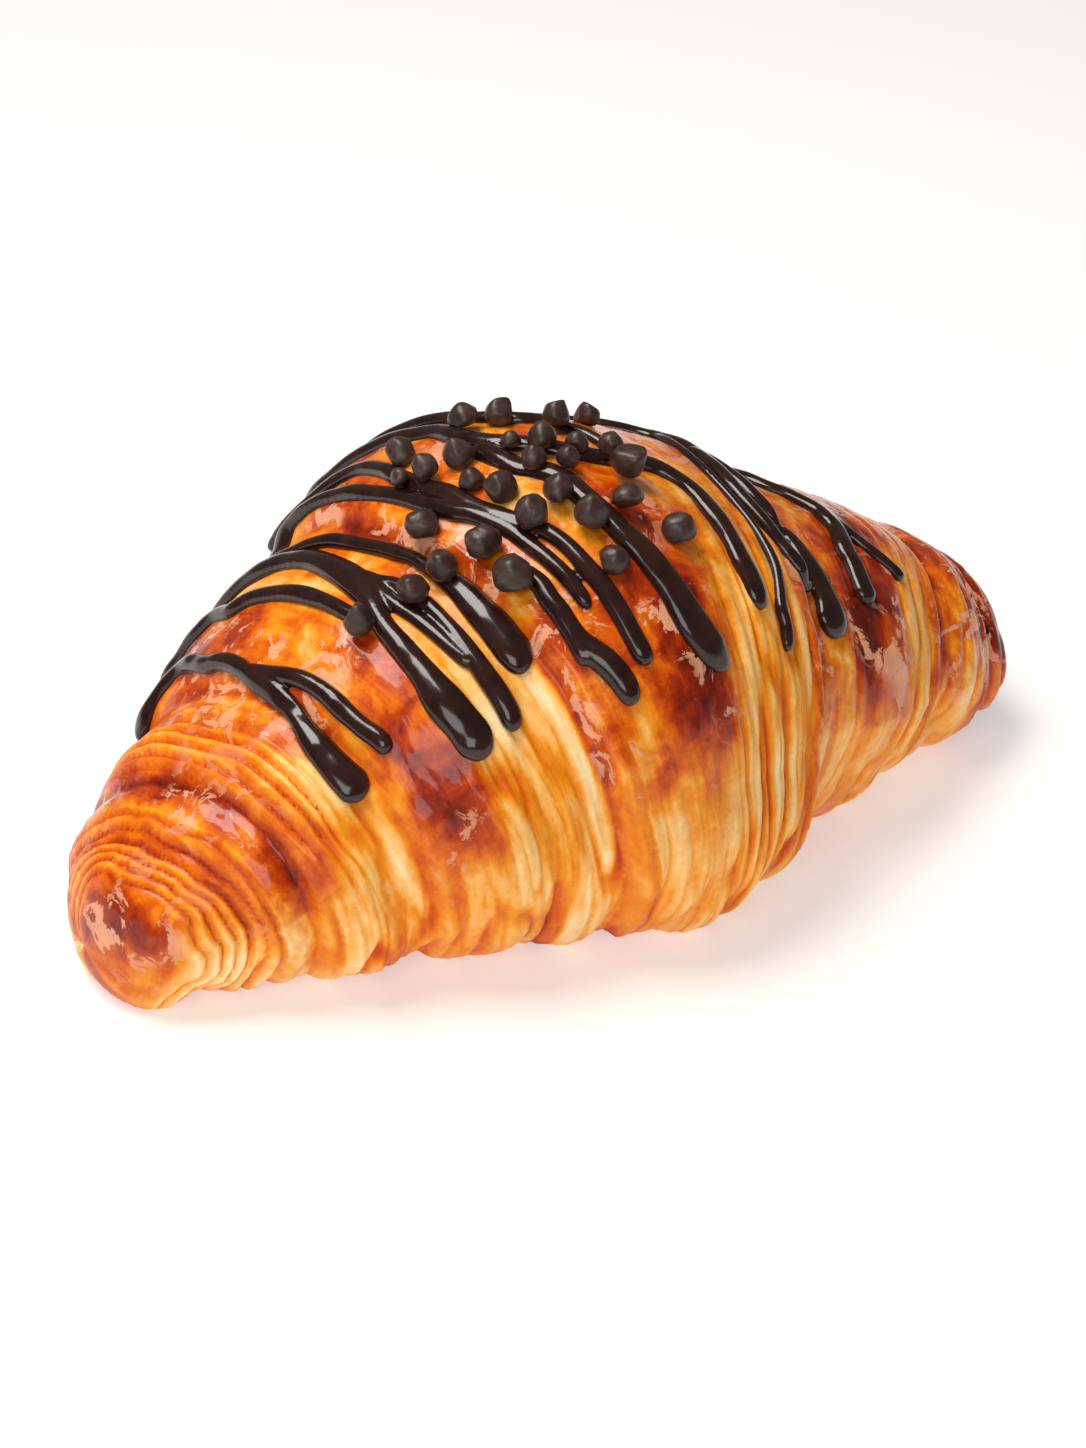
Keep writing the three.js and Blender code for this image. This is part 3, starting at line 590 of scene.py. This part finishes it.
def bakedCrust():
    # Egg-washed puff pastry, baked: clear brown glaze over the raised parts of each wrap, which
    # shines and blisters, and pale matt layers where the dough stretched open.
    m = newMaterial("egg-washed baked crust")
    bake = addNode(m, "ShaderNodeAttribute", {"attribute_name": "bake"})
    pale = addNode(m, "ShaderNodeAttribute", {"attribute_name": "pale"})
    glaze = addNode(m, "ShaderNodeAttribute", {"attribute_name": "glaze"})
    uv = addNode(m, "ShaderNodeUVMap", {"uv_map": "wraps"})
    place = addNode(m, "ShaderNodeTexCoord")
    stretch = addNode(m, "ShaderNodeMapping", {"Scale": (210, 24, 1)}, {"Vector": uv.outputs["UV"]})
    fibres = addNode(m, "ShaderNodeTexNoise", {"Scale": 1.0, "Detail": 4.0, "Roughness": 0.6},
                     {"Vector": stretch.outputs[0]})
    speckle = addNode(m, "ShaderNodeTexNoise", {"Scale": 520.0, "Detail": 5.0, "Roughness": 0.62},
                      {"Vector": place.outputs["Object"]})
    blotch = addNode(m, "ShaderNodeTexNoise", {"Scale": 150.0, "Detail": 5.0, "Roughness": 0.6,
                                              "Distortion": 0.5},
                     {"Vector": place.outputs["Object"]})
    blisterNoise = addNode(m, "ShaderNodeTexNoise", {"Scale": 165.0, "Detail": 6.0, "Roughness": 0.66,
                                              "Distortion": 0.9}, {"Vector": place.outputs["Object"]})
    fibreShift = addNode(m, "ShaderNodeMapRange", {"From Min": 0.3, "From Max": 0.7, "To Min": -0.045,
                                                   "To Max": 0.045}, {"Value": fibres.outputs[0]})
    speckleShift = addNode(m, "ShaderNodeMapRange", {"From Min": 0.3, "From Max": 0.7, "To Min": -0.04,
                                                     "To Max": 0.04}, {"Value": speckle.outputs[0]})
    blotchShift = addNode(m, "ShaderNodeMapRange", {"From Min": 0.35, "From Max": 0.65, "To Min": -0.16,
                                                    "To Max": 0.16}, {"Value": blotch.outputs[0]})
    blotchGlaze = addNode(m, "ShaderNodeMath", {"operation": "MULTIPLY"},
                          {0: blotchShift.outputs[0], 1: glaze.outputs["Fac"]})
    sumA = addNode(m, "ShaderNodeMath", {"operation": "ADD"},
                   {0: bake.outputs["Fac"], 1: fibreShift.outputs[0]})
    sumB = addNode(m, "ShaderNodeMath", {"operation": "ADD"}, {0: sumA.outputs[0], 1: speckleShift.outputs[0]})
    sumC = addNode(m, "ShaderNodeMath", {"operation": "ADD"}, {0: sumB.outputs[0], 1: blotchGlaze.outputs[0]})
    colour = addNode(m, "ShaderNodeValToRGB", {"stops": [
        (0.0, "#FFE4AC"), (0.12, "#FFC470"), (0.26, "#F4981C"), (0.42, "#DE6500"), (0.58, "#B83C00"),
        (0.74, "#8C2000"), (0.9, "#5A1000"), (1.0, "#360A00")]}, {"Fac": sumC.outputs[0]})
    # painted highlights: lighter pinkish patches with ragged edges on the glaze, standing in for reflections on
    # blistered egg wash; the same patches also bump the surface
    blisterEdge = addNode(m, "ShaderNodeMapRange", {"From Min": 0.54, "From Max": 0.56},
                        {"Value": blisterNoise.outputs[0]})
    clusters = addNode(m, "ShaderNodeTexNoise", {"Scale": 60.0, "Detail": 1.0},
                       {"Vector": place.outputs["Object"]})
    clusterShare = addNode(m, "ShaderNodeMapRange", {"From Min": 0.43, "From Max": 0.51},
                           {"Value": clusters.outputs[0]})
    clustered = addNode(m, "ShaderNodeMath", {"operation": "MULTIPLY"},
                        {0: blisterEdge.outputs[0], 1: clusterShare.outputs[0]})
    blistersAndHighlights = addNode(m, "ShaderNodeMath", {"operation": "MULTIPLY"},
                     {0: clustered.outputs[0], 1: glaze.outputs["Fac"]})
    paintedHighlightShare = addNode(m, "ShaderNodeMath", {"operation": "MULTIPLY", 1: 0.75}, {0: blistersAndHighlights.outputs[0]})
    highlightTinted = addNode(m, "ShaderNodeMix", {"data_type": "RGBA"})
    # pinkish cream of the painted highlights
    highlightTinted.inputs[7].default_value = linear("#F3B08A")
    link(m, paintedHighlightShare.outputs[0], highlightTinted, 0)
    link(m, colour.outputs["Color"], highlightTinted, 6)
    gloss = addNode(m, "ShaderNodeMapRange", {"To Min": 0.55, "To Max": 0.3}, {"Value": glaze.outputs["Fac"]})
    coat = addNode(m, "ShaderNodeMapRange", {"To Min": 0.08, "To Max": 0.6}, {"Value": glaze.outputs["Fac"]})
    grain = addNode(m, "ShaderNodeBump", {"Strength": 0.5, "Distance": 0.0003}, {"Height": fibres.outputs[0]})
    pimples = addNode(m, "ShaderNodeBump", {"Strength": 0.35, "Distance": 0.0005},
                      {"Height": speckle.outputs[0], "Normal": grain.outputs[0]})
    shells = addNode(m, "ShaderNodeBump", {"Strength": 0.5, "Distance": 0.0003},
                     {"Height": blistersAndHighlights.outputs[0], "Normal": pimples.outputs[0]})
    skin = addNode(m, "ShaderNodeBsdfPrincipled", {
        "IOR": 1.4, "Specular IOR Level": 0.22, "Coat Roughness": 0.08, "Coat IOR": 1.4,
        "Subsurface Weight": 0.05,
        "Subsurface Radius": (0.002, 0.001, 0.0005), "Subsurface Scale": 1.0,
    }, {"Base Color": highlightTinted.outputs[2], "Roughness": gloss.outputs[0],
        "Coat Weight": coat.outputs[0], "Normal": shells.outputs[0]})
    return finishMaterial(m, skin)


def setChocolate():
    # Dark couverture, poured and set: near black, smooth and glossy like a thin lacquer.
    m = newMaterial("poured dark chocolate")
    place = addNode(m, "ShaderNodeTexCoord")
    cloudy = addNode(m, "ShaderNodeTexNoise", {"Scale": 260.0, "Detail": 2.0},
                     {"Vector": place.outputs["Object"]})
    colour = addNode(m, "ShaderNodeValToRGB", {"stops": [(0.35, "#200C08"), (0.7, "#331812")]},
                     {"Fac": cloudy.outputs[0]})
    ripple = addNode(m, "ShaderNodeBump", {"Strength": 0.12, "Distance": 0.0004}, {"Height": cloudy.outputs[0]})
    skin = addNode(m, "ShaderNodeBsdfPrincipled", {"IOR": 1.42, "Roughness": 0.17, "Coat Weight": 0.25,
                                                   "Coat Roughness": 0.08},
                   {"Base Color": colour.outputs["Color"], "Normal": ripple.outputs[0]})
    return finishMaterial(m, skin)


def dropChocolate():
    # Moulded chocolate drops: satin dark brown with a faint grey bloom and small pits.
    m = newMaterial("satin chocolate drops")
    place = addNode(m, "ShaderNodeTexCoord")
    bloom = addNode(m, "ShaderNodeTexNoise", {"Scale": 500.0, "Detail": 6.0, "Roughness": 0.6},
                    {"Vector": place.outputs["Object"]})
    colour = addNode(m, "ShaderNodeValToRGB", {
        "stops": [(0.3, "#2A1813"), (0.55, "#402A23"), (0.75, "#5A423A")]},
                     {"Fac": bloom.outputs[0]})
    pits = addNode(m, "ShaderNodeBump", {"Strength": 0.5, "Distance": 0.0004}, {"Height": bloom.outputs[0]})
    skin = addNode(m, "ShaderNodeBsdfPrincipled", {"IOR": 1.46, "Roughness": 0.42, "Coat Weight": 0.15,
                                                   "Coat Roughness": 0.25},
                   {"Base Color": colour.outputs["Color"], "Normal": pits.outputs[0]})
    return finishMaterial(m, skin)


studio = {"azimuth": 34, "elevation": 29.9, "distance": 597, "lens": 90, "target": (-1.7, 0, 20.8)}


def addLight(name, place, aim, size, power, colour="#FFFFFF"):
    lamp = bpy.data.lights.new(name, "AREA")
    lamp.shape, lamp.size, lamp.size_y = "RECTANGLE", size[0], size[1]
    lamp.energy, lamp.color = power, linear(colour)[:3]
    holder = bpy.data.objects.new(name, lamp)
    holder.location = place
    holder.rotation_euler = (Vector(aim) - Vector(place)).to_track_quat("-Z", "Y").to_euler()
    bpy.context.scene.collection.objects.link(holder)
    return holder


def makeStudio():
    s = studio
    bm = bmesh.new()
    bmesh.ops.create_grid(bm, x_segments=1, y_segments=1, size=3)
    mesh = bpy.data.meshes.new("floor")
    bm.to_mesh(mesh)
    bm.free()
    floor = bpy.data.objects.new("floor", mesh)
    bpy.context.scene.collection.objects.link(floor)
    m = newMaterial("white paper sweep")
    paper = addNode(m, "ShaderNodeBsdfPrincipled", {"Base Color": linear("#D2CFCC"), "Roughness": 0.85,
                                                    "Emission Color": linear("#FFFFFF"),
                                                    "Emission Strength": 0.46})
    mesh.materials.append(finishMaterial(m, paper))
    world = bpy.data.worlds.new("pale room")
    world.use_nodes = True
    world.node_tree.nodes["Background"].inputs["Color"].default_value = linear("#FFFDFA")
    world.node_tree.nodes["Background"].inputs["Strength"].default_value = 0.15
    bpy.context.scene.world = world
    addLight("softbox overhead", (-0.22, 0.14, 0.8), (0, 0, 0.03), (0.5, 0.4), 6.8, "#FFFBF5")
    addLight("soft front fill", (-0.75, -0.75, 0.6), (0, 0, 0.03), (0.6, 0.6), 4.5, "#FFFFFF")
    lens = bpy.data.cameras.new("camera")
    lens.lens, lens.sensor_width = s["lens"], 36
    lens.clip_start, lens.clip_end = 0.01, 20
    camera = bpy.data.objects.new("camera", lens)
    az, el = math.radians(s["azimuth"]), math.radians(s["elevation"])
    back = Vector((-math.sin(az) * math.cos(el), -math.cos(az) * math.cos(el), math.sin(el)))
    camera.location = (Vector(s["target"]) + back * s["distance"]) * mm
    camera.rotation_euler = (-back).to_track_quat("-Z", "Y").to_euler()
    bpy.context.scene.collection.objects.link(camera)
    bpy.context.scene.camera = camera
    bpy.context.scene.view_settings.view_transform = "Standard"


makeStudio()
print("studio ready")
crust = bakedCrust()
addPiece("croissant_pastry", makePastry(), crust, ["pastry"])
print("pastry ready")
poured = setChocolate()
for nodeName, strands in drizzleRoutes.items():
    makeDrizzle(nodeName, strands, poured)
print("drizzle ready")
satin = dropChocolate()
for dropIndex in range(len(dropPlaces)):
    makeDrop(dropIndex, satin)
print("drops ready")
